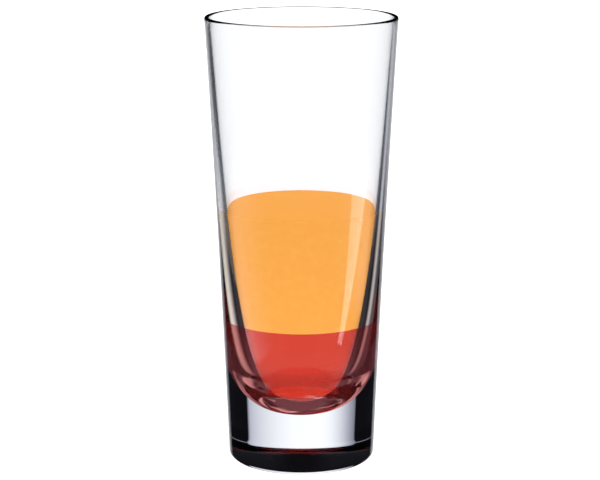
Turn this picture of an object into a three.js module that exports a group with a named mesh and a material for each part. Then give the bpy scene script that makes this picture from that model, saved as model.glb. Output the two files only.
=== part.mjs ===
// A tall thick-based tumbler with a layered drink: clear red aperitif below, orange juice above.
// Millimetres, +Z up, origin at the centre of the foot where it stands on the table.

import * as THREE from 'three';

// Driving sizes of the tumbler
const HEIGHT = 150;
const OUTER_RADII = [24.55, 26.5, 29.0, 31.95];
const FOOT_ROUNDING = 2.6;
const RIM_THICKNESS = 1.5;

// Driving sizes of the cavity: [radius, height] of the points that steer its wall and its floor
const WALL_TOP_HANDLE = [27.05, 114.0];
const WALL_LOW_HANDLE = [24.1, 51.9];
const SHOULDER = [15.5, 28.4];
const FLOOR_WALL_HANDLE = [11.9, 18.54];
const FLOOR_HANDLE_RADIUS = 5.6;
const FLOOR_HEIGHT = 17.5;

// Driving sizes of the drink
const RED_LEVEL = 48.2;
const ORANGE_LEVEL = 86.4;
const CLEARANCE = 0.3;

// Facets round the axis, and along each stretch of the outline
const SIDES = 64;
const STEPS = { foot: 4, outerWall: 8, rim: 6, innerWall: 12, floor: 8 };

const rimRadius = RIM_THICKNESS / 2;
const rimHeight = HEIGHT - rimRadius;

// The outer wall rises evenly with the curve's parameter, so height picks a point on it directly.
const outerCurve = new THREE.CubicBezierCurve(
  ...OUTER_RADII.map((radius, i) => new THREE.Vector2(radius, (HEIGHT * i) / 3)),
);

function outerRadius(height) {
  return outerCurve.getPoint(height / HEIGHT).x;
}

function outerLean(height) {
  const tangent = outerCurve.getTangent(height / HEIGHT);
  return Math.atan2(tangent.x, tangent.y);
}

function arcPoints(centre, radius, startAngle, endAngle, steps) {
  const points = [];
  for (let i = 0; i <= steps; i += 1) {
    const angle = startAngle + ((endAngle - startAngle) * i) / steps;
    points.push(new THREE.Vector2(centre.x + radius * Math.cos(angle), centre.y + radius * Math.sin(angle)));
  }
  return points;
}

// A round edge that runs tangent into the outer wall at the given height
function edgeCentre(height, radius) {
  return new THREE.Vector2(outerRadius(height) - radius / Math.cos(outerLean(height)), height);
}

function footPoints() {
  const centre = edgeCentre(FOOT_ROUNDING, FOOT_ROUNDING);
  return arcPoints(centre, FOOT_ROUNDING, -Math.PI / 2, -outerLean(FOOT_ROUNDING), STEPS.foot);
}

function outerWallPoints() {
  const points = [];
  for (let i = 1; i < STEPS.outerWall; i += 1) {
    const height = FOOT_ROUNDING + ((rimHeight - FOOT_ROUNDING) * i) / STEPS.outerWall;
    points.push(new THREE.Vector2(outerRadius(height), height));
  }
  return points;
}

function rimPoints() {
  return arcPoints(edgeCentre(rimHeight, rimRadius), rimRadius, -outerLean(rimHeight), Math.PI, STEPS.rim);
}

// The cavity's outline from the rim's inner edge down to the middle of its floor
function cavityPoints() {
  const lip = new THREE.Vector2(edgeCentre(rimHeight, rimRadius).x - rimRadius, rimHeight);
  const shoulder = new THREE.Vector2(...SHOULDER);
  const wall = new THREE.CubicBezierCurve(
    lip,
    new THREE.Vector2(...WALL_TOP_HANDLE),
    new THREE.Vector2(...WALL_LOW_HANDLE),
    shoulder,
  );
  const floor = new THREE.CubicBezierCurve(
    shoulder,
    new THREE.Vector2(...FLOOR_WALL_HANDLE),
    new THREE.Vector2(FLOOR_HANDLE_RADIUS, FLOOR_HEIGHT),
    new THREE.Vector2(0, FLOOR_HEIGHT),
  );
  return [...wall.getPoints(STEPS.innerWall), ...floor.getPoints(STEPS.floor).slice(1)];
}

// The cavity's outline moved inwards by the clearance, from the middle of the floor upwards
function drinkWall() {
  const wall = cavityPoints().reverse();
  const middle = new THREE.Vector2(0, FLOOR_HEIGHT + CLEARANCE);
  const moved = wall.slice(1, -1).map((point, i) => {
    const along = wall[i + 2].clone().sub(wall[i]).normalize();
    return new THREE.Vector2(point.x - along.y * CLEARANCE, point.y + along.x * CLEARANCE);
  });
  return [middle, ...moved];
}

function pointAtHeight(outline, height) {
  const above = outline.findIndex((point) => point.y > height);
  const [a, b] = [outline[above - 1], outline[above]];
  return a.clone().lerp(b, (height - a.y) / (b.y - a.y));
}

// A layer of drink with level faces, or the cavity's own floor under the lowest layer
function layerOutline(bottom, top) {
  const wall = drinkWall();
  const inside = wall.filter((point) => point.y > bottom && point.y < top);
  const upper = pointAtHeight(wall, top);
  const start = bottom > FLOOR_HEIGHT
    ? [new THREE.Vector2(0, bottom), pointAtHeight(wall, bottom)]
    : [];
  return [...start, ...inside, upper, new THREE.Vector2(0, top)];
}

function tumblerOutline() {
  return [
    new THREE.Vector2(0, 0),
    ...footPoints(),
    ...outerWallPoints(),
    ...rimPoints(),
    ...cavityPoints().slice(1),
  ];
}

function turned(name, outline, material) {
  const geometry = new THREE.LatheGeometry(outline, SIDES);
  geometry.rotateX(Math.PI / 2);
  const mesh = new THREE.Mesh(geometry, material);
  mesh.name = name;
  return mesh;
}

const clearGlass = new THREE.MeshStandardMaterial({
  color: 0xf3f4f9,
  roughness: 0.03,
  metalness: 0,
  transparent: true,
  opacity: 0.35,
});

const redAperitif = new THREE.MeshStandardMaterial({ color: 0xdb4a3d, roughness: 0.08, metalness: 0 });

const orangeJuice = new THREE.MeshStandardMaterial({ color: 0xfbad51, roughness: 0.25, metalness: 0 });

const drinkInGlass = new THREE.Group();
drinkInGlass.name = 'layered_drink';
drinkInGlass.add(
  turned('glass', tumblerOutline(), clearGlass),
  turned('red_aperitif', layerOutline(0, RED_LEVEL - CLEARANCE / 2), redAperitif),
  turned('orange_juice', layerOutline(RED_LEVEL + CLEARANCE / 2, ORANGE_LEVEL), orangeJuice),
);

export default drinkInGlass;
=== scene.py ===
"""A layered aperitif drink in its tumbler: clear red aperitif below, cloudy orange juice above.

Laid out as an add-on whose operators turn each piece on its axis, finish it and set up the studio.
"""

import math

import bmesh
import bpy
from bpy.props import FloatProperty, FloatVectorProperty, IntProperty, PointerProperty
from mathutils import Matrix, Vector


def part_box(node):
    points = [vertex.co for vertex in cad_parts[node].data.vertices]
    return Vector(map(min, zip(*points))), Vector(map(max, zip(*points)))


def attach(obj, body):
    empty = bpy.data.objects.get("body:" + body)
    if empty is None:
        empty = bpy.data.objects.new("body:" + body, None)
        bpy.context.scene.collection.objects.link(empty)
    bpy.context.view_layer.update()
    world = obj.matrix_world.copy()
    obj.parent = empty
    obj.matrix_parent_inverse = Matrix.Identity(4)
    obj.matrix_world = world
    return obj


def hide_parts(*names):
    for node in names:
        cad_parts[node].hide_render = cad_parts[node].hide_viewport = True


bl_info = {
    "name": "Layered Aperitif Drink",
    "version": (1, 0, 0),
    "blender": (4, 5, 0),
    "location": "3D View > Sidebar > Layered Drink",
    "description": "A thick-based tumbler of red aperitif and orange juice, with its studio",
    "category": "Add Mesh",
}

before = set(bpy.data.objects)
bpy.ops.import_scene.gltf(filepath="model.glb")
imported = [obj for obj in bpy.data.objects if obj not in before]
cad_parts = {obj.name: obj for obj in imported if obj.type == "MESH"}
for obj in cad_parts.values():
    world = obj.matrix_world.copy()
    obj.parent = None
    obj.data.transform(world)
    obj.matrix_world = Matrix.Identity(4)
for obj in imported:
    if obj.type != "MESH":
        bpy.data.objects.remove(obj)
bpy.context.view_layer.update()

MM = 0.001

GLASS_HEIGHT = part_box("glass")[1][2]
RED_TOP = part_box("red_aperitif")[1][2]
ORANGE_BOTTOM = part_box("orange_juice")[0][2]
ORANGE_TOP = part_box("orange_juice")[1][2]
LAYER_LEVEL = (RED_TOP + ORANGE_BOTTOM) / 2

# Steps along each stretch of the tumbler's outline
FOOT_STEPS = 14
OUTER_WALL_STEPS = 70
RIM_STEPS = 18
CAVITY_WALL_STEPS = 90
CAVITY_FLOOR_STEPS = 60

MERGE_DISTANCE = 0.001 * MM
CREASE_ANGLE = math.radians(40)
# A face counts as level from this upright share of its normal
LEVEL_NORMAL = 0.9
SENSOR_WIDTH = 36.0


def millimetres(name, description, default):
    return FloatProperty(
        name=name,
        description=description,
        default=default * MM,
        unit="LENGTH",
        precision=5,
    )


def degrees(name, description, default):
    return FloatProperty(
        name=name,
        description=description,
        default=math.radians(default),
        subtype="ANGLE",
    )


def colour_property(name, description, default):
    return FloatVectorProperty(
        name=name,
        description=description,
        default=default,
        subtype="COLOR",
    )


class TumblerSizes(bpy.types.PropertyGroup):
    """Outline of the tumbler and its cavity"""

    foot_radius: millimetres("Foot radius", "Outer wall's radius run down to the table", 24.55)
    lower_radius: millimetres("Lower handle", "Steers the outer wall a third of the way up", 26.5)
    upper_radius: millimetres("Upper handle", "Steers the outer wall two thirds of the way up", 29.0)
    rim_radius: millimetres("Rim radius", "Outer wall's radius at the rim", 31.95)
    foot_rounding: millimetres("Foot rounding", "Radius of the round edge under the foot", 2.6)
    rim_thickness: millimetres("Rim thickness", "Thickness of the rounded rim", 1.5)
    wall_top_radius: millimetres("Wall top radius", "Cavity handle below the rim, radius", 27.05)
    wall_top_height: millimetres("Wall top height", "Cavity handle below the rim, height", 114.0)
    wall_low_radius: millimetres("Wall low radius", "Cavity handle above the shoulder, radius", 24.1)
    wall_low_height: millimetres("Wall low height", "Cavity handle above the shoulder, height", 51.9)
    shoulder_radius: millimetres("Shoulder radius", "Where the cavity turns into its floor, radius", 15.5)
    shoulder_height: millimetres("Shoulder height", "Where the cavity turns into its floor, height", 28.4)
    floor_wall_radius: millimetres("Floor wall radius", "Cavity handle below the shoulder, radius", 11.9)
    floor_wall_height: millimetres("Floor wall height", "Cavity handle below the shoulder, height", 18.54)
    floor_radius: millimetres("Floor radius", "How far the level part of the floor reaches", 5.6)
    floor_height: millimetres("Floor height", "Thickness of the base under the cavity", 17.5)
    turns: IntProperty(name="Turns", description="Faces round the axis", default=240, min=32, max=512)


class DrinkSizes(bpy.types.PropertyGroup):
    """Levels and colours of the two layers"""

    bite: millimetres("Bite", "How far the drink reaches into the wall, so that no air gap shows", 0.1)
    red_tint: colour_property("Red tint", "Light left after the red layer", (0.80, 0.087, 0.049))
    red_body: colour_property("Red body", "Colour the red layer glows with", (0.665, 0.064, 0.036))
    mirror_tint: colour_property(
        "Mirror tint",
        "Colour of what the wall mirrors beside the red layer",
        (0.66, 0.26, 0.235),
    )
    low_tint: colour_property(
        "Low tint",
        "How much deeper the red looks close to the floor",
        (0.97, 0.33, 0.25),
    )
    low_level: millimetres("Low level", "Height below which the red looks deeper", 24.2)
    low_blend: millimetres("Low blend", "Height over which the red deepens", 1.0)
    ripple: millimetres("Ripple", "Depth of the ripples low down in what the wall mirrors", 0.6)
    ripple_top: millimetres("Ripple top", "Height where the ripples have faded out", 31.0)
    ripple_full: millimetres("Ripple full", "Height where the ripples are at their deepest", 24.5)
    haze_tint: colour_property(
        "Haze tint",
        "Faint dark red that shows where the wall mirrors nothing",
        (0.045, 0.005, 0.005),
    )
    juice_colour: colour_property("Juice colour", "Colour of the cloudy juice", (0.83, 0.34, 0.058))
    pulp_colour: colour_property("Pulp colour", "Paler colour of fine pulp", (0.845, 0.362, 0.067))
    juice_mirror: colour_property(
        "Juice mirror",
        "Colour of what the wall mirrors beside the juice",
        (1.0, 0.89, 0.76),
    )
    # Painted shade: the open surface of the juice gets a deeper copy of the side's colour, for how light
    # falls on it
    surface_painted_shade: colour_property(
        "Surface tint",
        "How much deeper the open surface looks than the side",
        (0.68, 0.65, 0.32),
    )


class StudioSettings(bpy.types.PropertyGroup):
    """Camera, floor and light"""

    camera_distance: millimetres("Camera distance", "Level distance from the axis to the camera", 700.0)
    camera_height: millimetres("Camera height", "Height of the camera above the floor", 224.2)
    camera_pitch: degrees("Camera pitch", "How far the camera looks down", 12.04)
    camera_aside: millimetres("Camera aside", "How far the camera stands to the right of the axis", -0.46)
    lens: FloatProperty(name="Lens", description="Focal length on a 36 mm wide sensor", default=128.2)
    camera_turn: degrees("Camera turn", "Turn of the camera about the axis", 45)
    soft_light: FloatProperty(
        name="Soft light",
        description="Brightness of the even light",
        default=2.15,
        min=0,
    )
    floor_size: millimetres("Floor size", "Width of the floor", 6000.0)


def settings():
    return bpy.context.scene.layered_drink


# Outlines

def bezier(a, b, c, d, steps):
    """Points of a cubic curve, both ends included"""
    points = []
    for i in range(steps + 1):
        t = i / steps
        s = 1 - t
        points.append(a * s ** 3 + b * 3 * s * s * t + c * 3 * s * t * t + d * t ** 3)
    return points


def arc(centre, radius, start, end, steps):
    """Points of a round edge, both ends included"""
    points = []
    for i in range(steps + 1):
        angle = start + (end - start) * i / steps
        points.append(centre + Vector((math.cos(angle), math.sin(angle))) * radius)
    return points


def outer_radius(sizes, height):
    radii = (sizes.foot_radius, sizes.lower_radius, sizes.upper_radius, sizes.rim_radius)
    t = height / GLASS_HEIGHT
    weights = ((1 - t) ** 3, 3 * (1 - t) ** 2 * t, 3 * (1 - t) * t * t, t ** 3)
    return sum(r * w for r, w in zip(radii, weights))


def outer_lean(sizes, height):
    step = 0.01 * MM
    rise = outer_radius(sizes, height + step) - outer_radius(sizes, height - step)
    return math.atan2(rise, 2 * step)


def edge_centre(sizes, height, radius):
    """Centre of a round edge that runs tangent into the outer wall"""
    return Vector((outer_radius(sizes, height) - radius / math.cos(outer_lean(sizes, height)), height))


def cavity_outline(sizes):
    """The cavity from the rim's inner edge down to the middle of its floor"""
    rim = sizes.rim_thickness / 2
    rim_height = GLASS_HEIGHT - rim
    lip = edge_centre(sizes, rim_height, rim) - Vector((rim, 0))
    shoulder = Vector((sizes.shoulder_radius, sizes.shoulder_height))
    wall = bezier(
        lip,
        Vector((sizes.wall_top_radius, sizes.wall_top_height)),
        Vector((sizes.wall_low_radius, sizes.wall_low_height)),
        shoulder,
        CAVITY_WALL_STEPS,
    )
    floor = bezier(
        shoulder,
        Vector((sizes.floor_wall_radius, sizes.floor_wall_height)),
        Vector((sizes.floor_radius, sizes.floor_height)),
        Vector((0, sizes.floor_height)),
        CAVITY_FLOOR_STEPS,
    )
    return wall + floor[1:]


def tumbler_outline(sizes):
    """The whole section of the glass, from the middle of the foot round to the middle of the floor"""
    rounding = sizes.foot_rounding
    rim = sizes.rim_thickness / 2
    rim_height = GLASS_HEIGHT - rim
    foot_centre = edge_centre(sizes, rounding, rounding)
    foot = arc(foot_centre, rounding, -math.pi / 2, -outer_lean(sizes, rounding), FOOT_STEPS)
    rise = rim_height - rounding
    heights = [rounding + rise * i / OUTER_WALL_STEPS for i in range(1, OUTER_WALL_STEPS)]
    wall = [Vector((outer_radius(sizes, h), h)) for h in heights]
    rim_centre = edge_centre(sizes, rim_height, rim)
    lip = arc(rim_centre, rim, -outer_lean(sizes, rim_height), math.pi, RIM_STEPS)
    underside = [Vector((0, 0)), Vector((foot[0].x / 2, 0))]
    return underside + foot + wall + lip + cavity_outline(sizes)[1:]


def drink_wall(sizes, bite):
    """The cavity's outline pushed into the wall by the bite, from the middle of the floor upwards"""
    outline = cavity_outline(sizes)[::-1]
    pushed = [outline[0] - Vector((0, bite))]
    for below, point, above in zip(outline, outline[1:], outline[2:]):
        along = (above - below).normalized()
        pushed.append(point + Vector((along.y, -along.x)) * bite)
    return pushed


def at_height(outline, height):
    for a, b in zip(outline, outline[1:]):
        if a.y <= height < b.y:
            return a.lerp(b, (height - a.y) / (b.y - a.y))
    raise ValueError("the drink's level is outside the cavity")


# Meshes

def turned_mesh(name, outline, turns):
    """A solid of revolution about Z from an outline that starts and ends on the axis"""
    bm = bmesh.new()
    verts = [bm.verts.new((p.x, 0, p.y)) for p in outline]
    edges = [bm.edges.new(pair) for pair in zip(verts, verts[1:])]
    bmesh.ops.spin(
        bm,
        geom=verts + edges,
        cent=(0, 0, 0),
        axis=(0, 0, 1),
        dvec=(0, 0, 0),
        angle=math.tau,
        steps=turns,
        use_merge=True,
        use_duplicate=False,
    )
    bmesh.ops.remove_doubles(bm, verts=bm.verts, dist=MERGE_DISTANCE)
    bmesh.ops.recalc_face_normals(bm, faces=bm.faces)
    for face in bm.faces:
        face.smooth = True
    mesh = bpy.data.meshes.new(name)
    bm.to_mesh(mesh)
    bm.free()
    return mesh


def add_piece(name, mesh, node, materials):
    """Puts a finished mesh in the scene in the place of a CAD node"""
    piece = bpy.data.objects.new(name, mesh)
    bpy.context.scene.collection.objects.link(piece)
    for material in materials:
        mesh.materials.append(material)
    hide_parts(node)
    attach(piece, "root")
    return piece


# Materials

WHITE = (1, 1, 1, 1)
GLASS_INDEX = 1.5
# Tint of the glass at its faces, and what its depth lets through
GLASS_FACE = (0.985, 0.987, 0.995, 1)
GLASS_DEPTH = (0.80, 0.84, 0.92, 1)
GLASS_DENSITY = 14.0
# The share of the red's colour that glows, beside what shows through it
RED_GLOW = 0.35
# Shares of light sent back by the wall between which what it mirrors takes on the drink's colour
FLAT_LOOK = (0.5, 0.95)
# Scales of the noise that makes the ripples and the pulp, and the noise values between which pulp shows
RIPPLE_SCALE = 170.0
PULP_SCALE = 420.0
PULP_RANGE = (0.42, 0.78)
JUICE_INDEX = 1.34
JUICE_GLOSS = 0.08
FLOOR_COLOUR = (0.93, 0.93, 0.935, 1)


def new_material(name):
    material = bpy.data.materials.new(name)
    material.use_nodes = True
    material.node_tree.nodes.clear()
    return material, material.node_tree


def put(tree, socket, value):
    if isinstance(value, bpy.types.NodeSocket):
        tree.links.new(value, socket)
    else:
        socket.default_value = value


def node(tree, kind, **sockets):
    """A node with its named input sockets set, or linked where the value is another node's socket"""
    made = tree.nodes.new(kind)
    for key, value in sockets.items():
        put(tree, made.inputs[key.replace("_", " ")], value)
    return made


def maths(tree, operation, *values):
    made = tree.nodes.new("ShaderNodeMath")
    made.operation = operation
    for socket, value in zip(made.inputs, values):
        put(tree, socket, value)
    return made.outputs[0]


def product(tree, first, *others):
    for other in others:
        first = maths(tree, "MULTIPLY", first, other)
    return first


def stepped(tree, value, start, end):
    """A soft step from 0 at start to 1 at end"""
    made = tree.nodes.new("ShaderNodeMapRange")
    made.interpolation_type = "SMOOTHSTEP"
    for key, number in (("Value", value), ("From Min", start), ("From Max", end)):
        put(tree, made.inputs[key], number)
    return made.outputs[0]


def mixed(tree, factor, a, b):
    """A number between two others"""
    return node(tree, "ShaderNodeMix", Factor=factor, A=a, B=b).outputs[0]


def blended(tree, factor, a, b):
    """A colour between two others"""
    made = tree.nodes.new("ShaderNodeMix")
    made.data_type = "RGBA"
    put(tree, made.inputs[0], factor)
    put(tree, made.inputs[6], a)
    put(tree, made.inputs[7], b)
    return made.outputs[2]


def joined(tree, share, a, b):
    """Two shaders as one, by the share of the second"""
    made = node(tree, "ShaderNodeMixShader", Fac=share)
    tree.links.new(a.outputs[0], made.inputs[1])
    tree.links.new(b.outputs[0], made.inputs[2])
    return made


def show(tree, shader):
    """Makes a shader the material's surface"""
    output = tree.nodes.new("ShaderNodeOutputMaterial")
    tree.links.new(shader.outputs[0], output.inputs["Surface"])
    return output


def clear_glass():
    material, tree = new_material("clear_glass")
    shader = node(tree, "ShaderNodeBsdfPrincipled", Base_Color=GLASS_FACE, Roughness=0.0, IOR=GLASS_INDEX)
    shader.inputs["Transmission Weight"].default_value = 1.0
    depth = node(tree, "ShaderNodeVolumeAbsorption", Color=GLASS_DEPTH, Density=GLASS_DENSITY)
    output = show(tree, shader)
    tree.links.new(depth.outputs[0], output.inputs["Volume"])
    return material


def wall_mirror(tree, tint, **sockets):
    """The share of light that the wall's inner face sends back, and its mirror, tinted for flat rays"""
    share = node(tree, "ShaderNodeFresnel", IOR=1 / GLASS_INDEX).outputs[0]
    colour = blended(tree, stepped(tree, share, *FLAT_LOOK), WHITE, (*tint, 1))
    return share, node(tree, "ShaderNodeBsdfGlossy", Color=colour, Roughness=0.0, **sockets)


def deeper(tree, low, colour, low_tint):
    """A colour that takes on the low tint where low is 1"""
    deep = [a * b for a, b in zip(colour, low_tint)]
    return blended(tree, low, (*colour, 1), (*deep, 1))


def ripples(tree, drink, place, height):
    """Normals of the small waves low down in the wall"""
    uneven = node(tree, "ShaderNodeTexNoise", Vector=place, Scale=RIPPLE_SCALE, Detail=1.0, Roughness=0.4)
    fade = stepped(tree, height, drink.ripple_top, drink.ripple_full)
    depth = product(tree, uneven.outputs["Fac"], fade)
    return node(tree, "ShaderNodeBump", Strength=1.0, Distance=drink.ripple, Height=depth).outputs[0]


def red_liquid(drink):
    """Clear red, deeper near the floor, that glows a little, behind a wall that mirrors flat rays"""
    material, tree = new_material("red_liquid")
    place = tree.nodes.new("ShaderNodeTexCoord").outputs["Object"]
    height = node(tree, "ShaderNodeSeparateXYZ", Vector=place).outputs[2]
    low = stepped(tree, height, drink.low_level, drink.low_level - drink.low_blend)
    one_face = [math.sqrt(c) for c in drink.red_tint]
    through_colour = deeper(tree, low, one_face, drink.low_tint)
    body_colour = deeper(tree, low, drink.red_body, drink.low_tint)
    through = node(tree, "ShaderNodeBsdfRefraction", Color=through_colour, Roughness=0.0, IOR=1.0)
    body = node(tree, "ShaderNodeBsdfPrincipled", Base_Color=body_colour, Roughness=0.5)
    body.inputs["Specular IOR Level"].default_value = 0.0
    share, mirror = wall_mirror(tree, drink.mirror_tint, Normal=ripples(tree, drink, place, height))
    haze = node(tree, "ShaderNodeBsdfDiffuse", Color=(*drink.haze_tint, 1))
    hazy = tree.nodes.new("ShaderNodeAddShader")
    tree.links.new(mirror.outputs[0], hazy.inputs[0])
    tree.links.new(haze.outputs[0], hazy.inputs[1])
    show(tree, joined(tree, share, joined(tree, RED_GLOW, through, body), hazy))
    return material


def juice_shader(tree, drink, tint=(1, 1, 1)):
    """Cloudy juice with a fine, barely visible pulp. The tint multiplies its colours; on the open surface
    it is painted shade.
    """
    plain = [a * b for a, b in zip(drink.juice_colour, tint)]
    pale = [a * b for a, b in zip(drink.pulp_colour, tint)]
    place = tree.nodes.new("ShaderNodeTexCoord").outputs["Object"]
    pulp = node(tree, "ShaderNodeTexNoise", Vector=place, Scale=PULP_SCALE, Detail=3.0, Roughness=0.6)
    paleness = stepped(tree, pulp.outputs["Fac"], *PULP_RANGE)
    colour = blended(tree, paleness, (*plain, 1), (*pale, 1))
    return node(tree, "ShaderNodeBsdfPrincipled", Base_Color=colour, Roughness=0.35)


def juice_side(drink):
    """Juice against the wall, whose inner face mirrors what meets it at a flat angle"""
    material, tree = new_material("juice_against_glass")
    body = juice_shader(tree, drink)
    body.inputs["Specular IOR Level"].default_value = 0.0
    share, mirror = wall_mirror(tree, drink.juice_mirror)
    show(tree, joined(tree, share, body, mirror))
    return material


def juice_top(drink):
    """The open surface of the juice, in a deeper copy of the juice colour that is painted shade"""
    material, tree = new_material("juice_surface")
    # Painted shade: the open surface's tint deepens this copy of the juice colour on the top face only
    body = juice_shader(tree, drink, drink.surface_painted_shade)
    body.inputs["IOR"].default_value = JUICE_INDEX
    body.inputs["Specular IOR Level"].default_value = JUICE_GLOSS
    show(tree, body)
    return material


def floor_material():
    material, tree = new_material("pale_floor")
    show(tree, node(tree, "ShaderNodeBsdfDiffuse", Color=FLOOR_COLOUR))
    return material


# Studio light. A ray meets its light by the faces of the glass on its way. One that meets none, or that
# the floor or the juice has spread, meets even light. One that has crossed both walls meets a white tent.
# One that leaves through the outer wall alone, or that a face of the glass has mirrored, meets a lit
# panel behind the glass and black cards all round, which give the base and walls their dark lines.

# Angles are in degrees, and azimuths run to the camera's right from straight behind the glass. Two angles
# say where a light or a card starts to show and where it is at its full strength. A list of stops holds
# angles, each with the brightness there.

# The panel: its brightness by azimuth, its upper and lower edge, and how bright it still is below that
PANEL = (
    (-34.4, 0.0), (-34, 0.27), (-32, 0.36), (-28, 0.55), (-24, 0.77), (-20, 0.97), (-16, 1.14),
    (-10, 1.27), (4, 1.24), (12, 1.10), (20, 0.93), (28, 0.75), (33.6, 0.58), (34, 0.0),
)
PANEL_TOP = (30.0, 26.0)
PANEL_FOOT = (-40.0, -31.0)
PANEL_FOOT_LIGHT = 0.1
# The same panel as the inner wall mirrors it, and its upper edge, also as the outside mirrors it
MIRRORED = (
    (-48, 0.0), (-42, 0.07), (-37, 0.10), (-33, 0.27), (-29, 0.54), (-24, 0.92), (-18, 1.22), (-8, 1.3),
    (-3, 0.42), (3, 0.20), (17, 0.14), (21, 0.34), (25, 0.66), (28, 0.76), (31, 0.56), (35, 0.13),
    (38, 0.0),
)
MIRRORED_TOP = (-5.5, -6.8)
# A shadow over that panel's left side, which widens above its foot by so many degrees a degree
SHADOW_FOOT = -16.5
SHADOW_SLANT = 3.9
SHADOW_EDGE = (-45.0, -31.0)
# How much dimmer that panel's left side is high up
LEFT_DIM = 0.5
LEFT_HIGH = (-17.5, -13.0)
# Dim light from the tent's sides by elevation, its start and end off the middle, and the least light
SIDES = (
    (-90, 0.16), (-52, 0.16), (-42, 0.11), (-34, 0.05), (-22, 0.05), (-15, 0.20), (-8, 0.20), (-4, 0.12),
    (90, 0.12),
)
SIDES_FROM = (34.0, 46.0)
SIDES_TO = (156.0, 140.0)
SIDES_LEAST = 0.015
# Steep mirrored rays all meet the same dim light
STEEP = (-48.0, -56.0)
STEEP_LIGHT = 0.20
# A black card above the horizon behind the glass: its lower edge, and its sides by degrees off the middle
HOOD_FOOT = (-8.0, 2.0)
HOOD_SIDES = (80.0, 66.0)
# Faint light on that card, off its middle and high up
HOOD_GLOW = 0.03
HOOD_GLOW_FROM = (4.0, 20.0)
HOOD_GLOW_ABOVE = (10.0, 40.0)
# A narrow gap at the horizon to both sides: its lower and upper edge, and its start off the middle
GAP_LOW = (-1.2, -0.6)
GAP_HIGH = (2.4, 1.8)
GAP_SIDES = (10.0, 12.0)
GAP_LIGHT = 0.4
# Light that the black cards still send back, at the least, and how much more there is further down
CARD_LEAST = 0.004
CARD_MORE = 0.03
CARD_FADE = (-14.0, -30.0)
# Dim light is a little blue
DIM_TINT = (0.92, 0.93, 1.16, 1)
# A tall strip light to the right. Its far edge is upright. Its near edge bends away upwards from the
# foot, by so many degrees for each squared degree of rise.
STRIP_FAR = 102.0
STRIP_NEAR = 91.5
STRIP_BEND = 0.03
STRIP_FOOT = -43.0
STRIP_SOFTNESS = 0.7
STRIP_LOW = (-44.0, -42.8)
STRIP_HIGH = (-18.0, -19.5)
STRIP_LIGHT = 3.5
# A soft glow to both sides by degrees off the middle, its lower and upper edge, and the lower edge that
# it has on the right
GLOW = (
    (-54, 0.0), (54, 0.0), (60, 0.42), (75, 0.76), (99, 0.6), (107, 0.43), (113, 0.3), (124, 0.05),
    (130, 0.0),
)
GLOW_LOW = (-52.0, -46.0)
GLOW_HIGH = (-16.0, -19.0)
GLOW_RIGHT_LOW = (-37.0, -24.0)
# The tent: its light, its lower edge and how bright it still is below that, and its upper edge
TENT_LIGHT = 1.16
TENT_FOOT = (-54.0, -43.0)
TENT_FOOT_LIGHT = 0.5
TENT_TOP = (16.0, 8.0)
# A grey card low down, which the rim's round edge turns some rays to
RIM_CARD = (-28.0, -31.0)
RIM_CARD_LIGHT = 0.4
# Faces of the glass that a ray crosses on its way through both walls
BOTH_WALLS = 4
# The brightest light that a list of stops can hold
STOPS_TOP = 2.0


def brightest(tree, first, *others):
    for other in others:
        first = maths(tree, "MAXIMUM", first, other)
    return first


def at_least(tree, count, number):
    """1 where a count reaches the number"""
    return maths(tree, "GREATER_THAN", count, number - 0.5)


def at_most(tree, count, number):
    """1 where a count isn't over the number"""
    return maths(tree, "LESS_THAN", count, number + 0.5)


def by_angle(tree, angle, stops):
    """Brightness read off a list of stops by an angle in degrees"""
    ramp = node(tree, "ShaderNodeValToRGB", Fac=maths(tree, "MULTIPLY_ADD", angle, 1 / 360, 0.5))
    elements = ramp.color_ramp.elements
    while len(elements) < len(stops):
        elements.new(0.5)
    for element, (place, light) in zip(elements, stops):
        grey = light / STOPS_TOP
        element.position = place / 360 + 0.5
        element.color = (grey, grey, grey, 1)
    return maths(tree, "MULTIPLY", ramp.outputs["Color"], STOPS_TOP)


def panel_light(tree, azimuth, elevation, entered):
    """What a ray meets that leaves straight through the outer wall, or that the outside mirrors"""
    # A ray that leaves towards the camera meets the same panel there
    in_front = maths(tree, "GREATER_THAN", maths(tree, "ABSOLUTE", azimuth), 90.0)
    turned = product(tree, entered, in_front, maths(tree, "SIGN", azimuth))
    nearest = maths(tree, "MULTIPLY_ADD", turned, -180.0, azimuth)
    outside_top = stepped(tree, elevation, *MIRRORED_TOP)
    top = mixed(tree, entered, outside_top, stepped(tree, elevation, *PANEL_TOP))
    low = mixed(tree, stepped(tree, elevation, *PANEL_FOOT), PANEL_FOOT_LIGHT, 1.0)
    panel = product(tree, by_angle(tree, nearest, PANEL), top, low)
    gap = product(
        tree,
        stepped(tree, elevation, *GAP_LOW),
        stepped(tree, elevation, *GAP_HIGH),
        stepped(tree, maths(tree, "ABSOLUTE", azimuth), *GAP_SIDES),
        GAP_LIGHT,
    )
    cards = maths(tree, "MULTIPLY_ADD", stepped(tree, elevation, *CARD_FADE), CARD_MORE, CARD_LEAST)
    return brightest(tree, panel, gap, cards)


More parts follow.
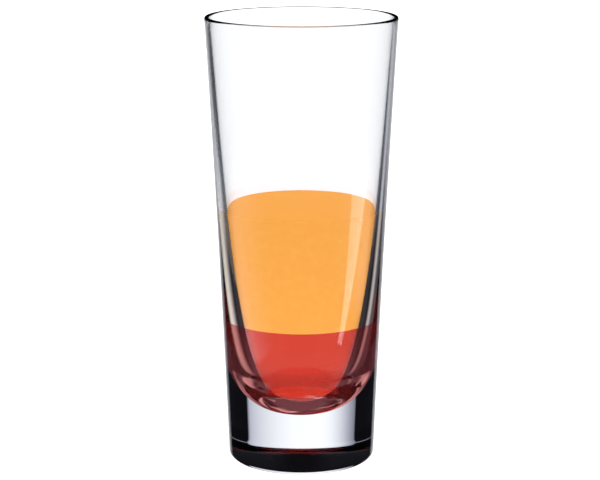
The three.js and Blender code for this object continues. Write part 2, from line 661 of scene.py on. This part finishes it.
def mirrored_light(tree, azimuth, elevation):
    """What a ray meets that the inner wall has mirrored"""
    off_middle = maths(tree, "ABSOLUTE", azimuth)
    lift = maths(tree, "MAXIMUM", maths(tree, "SUBTRACT", elevation, SHADOW_FOOT), 0.0)
    along = maths(tree, "MULTIPLY_ADD", lift, -SHADOW_SLANT, azimuth)
    left = maths(tree, "LESS_THAN", azimuth, 0.0)
    dimmed = product(tree, left, stepped(tree, elevation, *LEFT_HIGH))
    panel = product(
        tree,
        by_angle(tree, azimuth, MIRRORED),
        maths(tree, "MULTIPLY_ADD", dimmed, -LEFT_DIM, 1.0),
        stepped(tree, along, *SHADOW_EDGE),
        stepped(tree, elevation, *MIRRORED_TOP),
    )
    sides = product(
        tree,
        by_angle(tree, elevation, SIDES),
        stepped(tree, off_middle, *SIDES_FROM),
        stepped(tree, off_middle, *SIDES_TO),
    )
    light = brightest(tree, panel, sides, SIDES_LEAST)
    light = mixed(tree, stepped(tree, elevation, *STEEP), light, STEEP_LIGHT)
    hood = product(tree, stepped(tree, elevation, *HOOD_FOOT), stepped(tree, off_middle, *HOOD_SIDES))
    off_hood_middle = stepped(tree, off_middle, *HOOD_GLOW_FROM)
    glow = product(tree, off_hood_middle, stepped(tree, elevation, *HOOD_GLOW_ABOVE))
    return mixed(tree, hood, light, maths(tree, "MULTIPLY_ADD", glow, HOOD_GLOW, CARD_LEAST))


def tent_light(tree, elevation, crossed):
    """What a ray meets that has crossed both walls"""
    low = mixed(tree, stepped(tree, elevation, *TENT_FOOT), TENT_FOOT_LIGHT, 1.0)
    card = product(tree, stepped(tree, elevation, *RIM_CARD), at_most(tree, crossed, BOTH_WALLS))
    low = mixed(tree, card, low, RIM_CARD_LIGHT)
    return product(tree, low, stepped(tree, elevation, *TENT_TOP), TENT_LIGHT)


def strip_light(tree, azimuth, elevation):
    """What a ray meets at the sides that the glass has mirrored once"""
    rise = maths(tree, "SUBTRACT", elevation, STRIP_FOOT)
    near = maths(tree, "MULTIPLY_ADD", maths(tree, "MULTIPLY", rise, rise), -STRIP_BEND, STRIP_NEAR)
    past_near = maths(tree, "SUBTRACT", azimuth, near)
    strip = product(
        tree,
        stepped(tree, past_near, -STRIP_SOFTNESS, STRIP_SOFTNESS),
        stepped(tree, azimuth, STRIP_FAR + STRIP_SOFTNESS, STRIP_FAR - STRIP_SOFTNESS),
        stepped(tree, elevation, *STRIP_LOW),
        stepped(tree, elevation, *STRIP_HIGH),
        STRIP_LIGHT,
    )
    left = maths(tree, "LESS_THAN", azimuth, 0.0)
    glow = product(
        tree,
        by_angle(tree, maths(tree, "ABSOLUTE", azimuth), GLOW),
        maths(tree, "MAXIMUM", stepped(tree, elevation, *GLOW_RIGHT_LOW), left),
        stepped(tree, elevation, *GLOW_LOW),
        stepped(tree, elevation, *GLOW_HIGH),
    )
    return brightest(tree, strip, glow)


def studio_world(studio):
    world = bpy.data.worlds.new("studio_world")
    world.use_nodes = True
    tree = world.node_tree
    tree.nodes.clear()
    along = tree.nodes.new("ShaderNodeTexCoord").outputs["Generated"]
    direction = node(tree, "ShaderNodeMapping", Vector=along)
    direction.inputs["Rotation"].default_value = (0, 0, -studio.camera_turn)
    x, y, z = node(tree, "ShaderNodeSeparateXYZ", Vector=direction.outputs[0]).outputs
    azimuth = maths(tree, "MULTIPLY", maths(tree, "ARCTAN2", x, y), math.degrees(1))
    elevation = maths(tree, "MULTIPLY", maths(tree, "ARCSINE", z), math.degrees(1))
    path = tree.nodes.new("ShaderNodeLightPath")
    crossed = path.outputs["Transmission Depth"]
    bounced = path.outputs["Glossy Depth"]
    entered = at_least(tree, crossed, 1)
    inside = product(tree, entered, at_least(tree, bounced, 1))
    once = product(tree, inside, at_most(tree, bounced, 1))
    strip = product(tree, once, strip_light(tree, azimuth, elevation))
    mirrored = brightest(tree, mirrored_light(tree, azimuth, elevation), strip)
    carded = mixed(tree, inside, panel_light(tree, azimuth, elevation, entered), mirrored)
    through = at_least(tree, crossed, BOTH_WALLS)
    light = mixed(tree, through, carded, tent_light(tree, elevation, crossed))
    soft = at_least(tree, path.outputs["Diffuse Depth"], 1)
    plain = maths(tree, "MAXIMUM", soft, path.outputs["Is Camera Ray"])
    strength = mixed(tree, plain, light, studio.soft_light)
    tint = blended(tree, strength, DIM_TINT, WHITE)
    background = node(tree, "ShaderNodeBackground", Color=tint, Strength=strength)
    output = tree.nodes.new("ShaderNodeOutputWorld")
    tree.links.new(background.outputs[0], output.inputs["Surface"])
    return world


# Operators

class DRINK_OT_tumbler(bpy.types.Operator):
    """Turn the thick-based glass tumbler"""

    bl_idname = "drink.tumbler"
    bl_label = "Tumbler"

    def execute(self, context):
        sizes = settings().tumbler
        mesh = turned_mesh("tumbler", tumbler_outline(sizes), sizes.turns)
        tumbler = add_piece("tumbler", mesh, "glass", [clear_glass()])
        tumbler.visible_diffuse = False
        return {"FINISHED"}


class DRINK_OT_red_layer(bpy.types.Operator):
    """Fill the bottom of the cavity with clear red aperitif"""

    bl_idname = "drink.red_layer"
    bl_label = "Red layer"

    def execute(self, context):
        sizes = settings().tumbler
        drink = settings().drink
        wall = drink_wall(sizes, drink.bite)
        level = LAYER_LEVEL + drink.bite
        outline = [p for p in wall if p.y < level] + [at_height(wall, level), Vector((0, level))]
        mesh = turned_mesh("red_layer", outline, sizes.turns)
        mesh.set_sharp_from_angle(angle=CREASE_ANGLE)
        add_piece("red_layer", mesh, "red_aperitif", [red_liquid(drink)])
        return {"FINISHED"}


class DRINK_OT_juice_layer(bpy.types.Operator):
    """Fill the cavity above the red layer with cloudy orange juice"""

    bl_idname = "drink.juice_layer"
    bl_label = "Juice layer"

    def execute(self, context):
        sizes = settings().tumbler
        drink = settings().drink
        wall = drink_wall(sizes, drink.bite)
        outline = [Vector((0, LAYER_LEVEL)), at_height(wall, LAYER_LEVEL)]
        outline += [p for p in wall if LAYER_LEVEL < p.y < ORANGE_TOP]
        outline += [at_height(wall, ORANGE_TOP), Vector((0, ORANGE_TOP))]
        mesh = turned_mesh("juice_layer", outline, sizes.turns)
        mesh.set_sharp_from_angle(angle=CREASE_ANGLE)
        looks = [juice_side(drink), juice_top(drink)]
        add_piece("juice_layer", mesh, "orange_juice", looks)
        # The level faces take the open surface's material, whose deeper colour is painted shade
        for face in mesh.polygons:
            face.material_index = 1 if abs(face.normal.z) > LEVEL_NORMAL else 0
        return {"FINISHED"}


class DRINK_OT_studio(bpy.types.Operator):
    """Set up the pale floor, the light and the camera"""

    bl_idname = "drink.studio"
    bl_label = "Studio"

    def execute(self, context):
        scene = context.scene
        studio = settings().studio
        bm = bmesh.new()
        bmesh.ops.create_grid(bm, x_segments=1, y_segments=1, size=studio.floor_size / 2)
        mesh = bpy.data.meshes.new("floor")
        bm.to_mesh(mesh)
        bm.free()
        mesh.materials.append(floor_material())
        floor = bpy.data.objects.new("floor", mesh)
        floor.visible_transmission = False
        floor.visible_glossy = False
        scene.collection.objects.link(floor)
        scene.world = studio_world(studio)
        scene.view_settings.view_transform = "Standard"
        data = bpy.data.cameras.new("camera")
        data.sensor_width = SENSOR_WIDTH
        data.lens = studio.lens
        camera = bpy.data.objects.new("camera", data)
        place = Vector((studio.camera_aside, -studio.camera_distance, studio.camera_height))
        around = Matrix.Rotation(studio.camera_turn, 4, "Z")
        down = Matrix.Rotation(math.pi / 2 - studio.camera_pitch, 4, "X")
        camera.matrix_world = around @ Matrix.Translation(place) @ down
        scene.collection.objects.link(camera)
        scene.camera = camera
        return {"FINISHED"}


class DRINK_PT_panel(bpy.types.Panel):
    """Sizes and steps of the layered drink"""

    bl_idname = "DRINK_PT_panel"
    bl_label = "Layered Drink"
    bl_space_type = "VIEW_3D"
    bl_region_type = "UI"
    bl_category = "Layered Drink"

    def draw(self, context):
        for operator in OPERATORS:
            self.layout.operator(operator.bl_idname)
        for group in (settings().tumbler, settings().drink, settings().studio):
            box = self.layout.box()
            for key in group.__annotations__:
                box.prop(group, key)


class LayeredDrink(bpy.types.PropertyGroup):
    """All settings of the layered drink"""

    tumbler: PointerProperty(type=TumblerSizes)
    drink: PointerProperty(type=DrinkSizes)
    studio: PointerProperty(type=StudioSettings)


GROUPS = (TumblerSizes, DrinkSizes, StudioSettings, LayeredDrink)
OPERATORS = (DRINK_OT_studio, DRINK_OT_tumbler, DRINK_OT_red_layer, DRINK_OT_juice_layer)


def register():
    for cls in (*GROUPS, *OPERATORS, DRINK_PT_panel):
        bpy.utils.register_class(cls)
    bpy.types.Scene.layered_drink = PointerProperty(type=LayeredDrink)


def unregister():
    del bpy.types.Scene.layered_drink
    for cls in reversed((*GROUPS, *OPERATORS, DRINK_PT_panel)):
        bpy.utils.unregister_class(cls)


def main():
    register()
    bpy.ops.drink.studio()
    bpy.ops.drink.tumbler()
    bpy.ops.drink.red_layer()
    bpy.ops.drink.juice_layer()


if __name__ == "__main__":
    main()
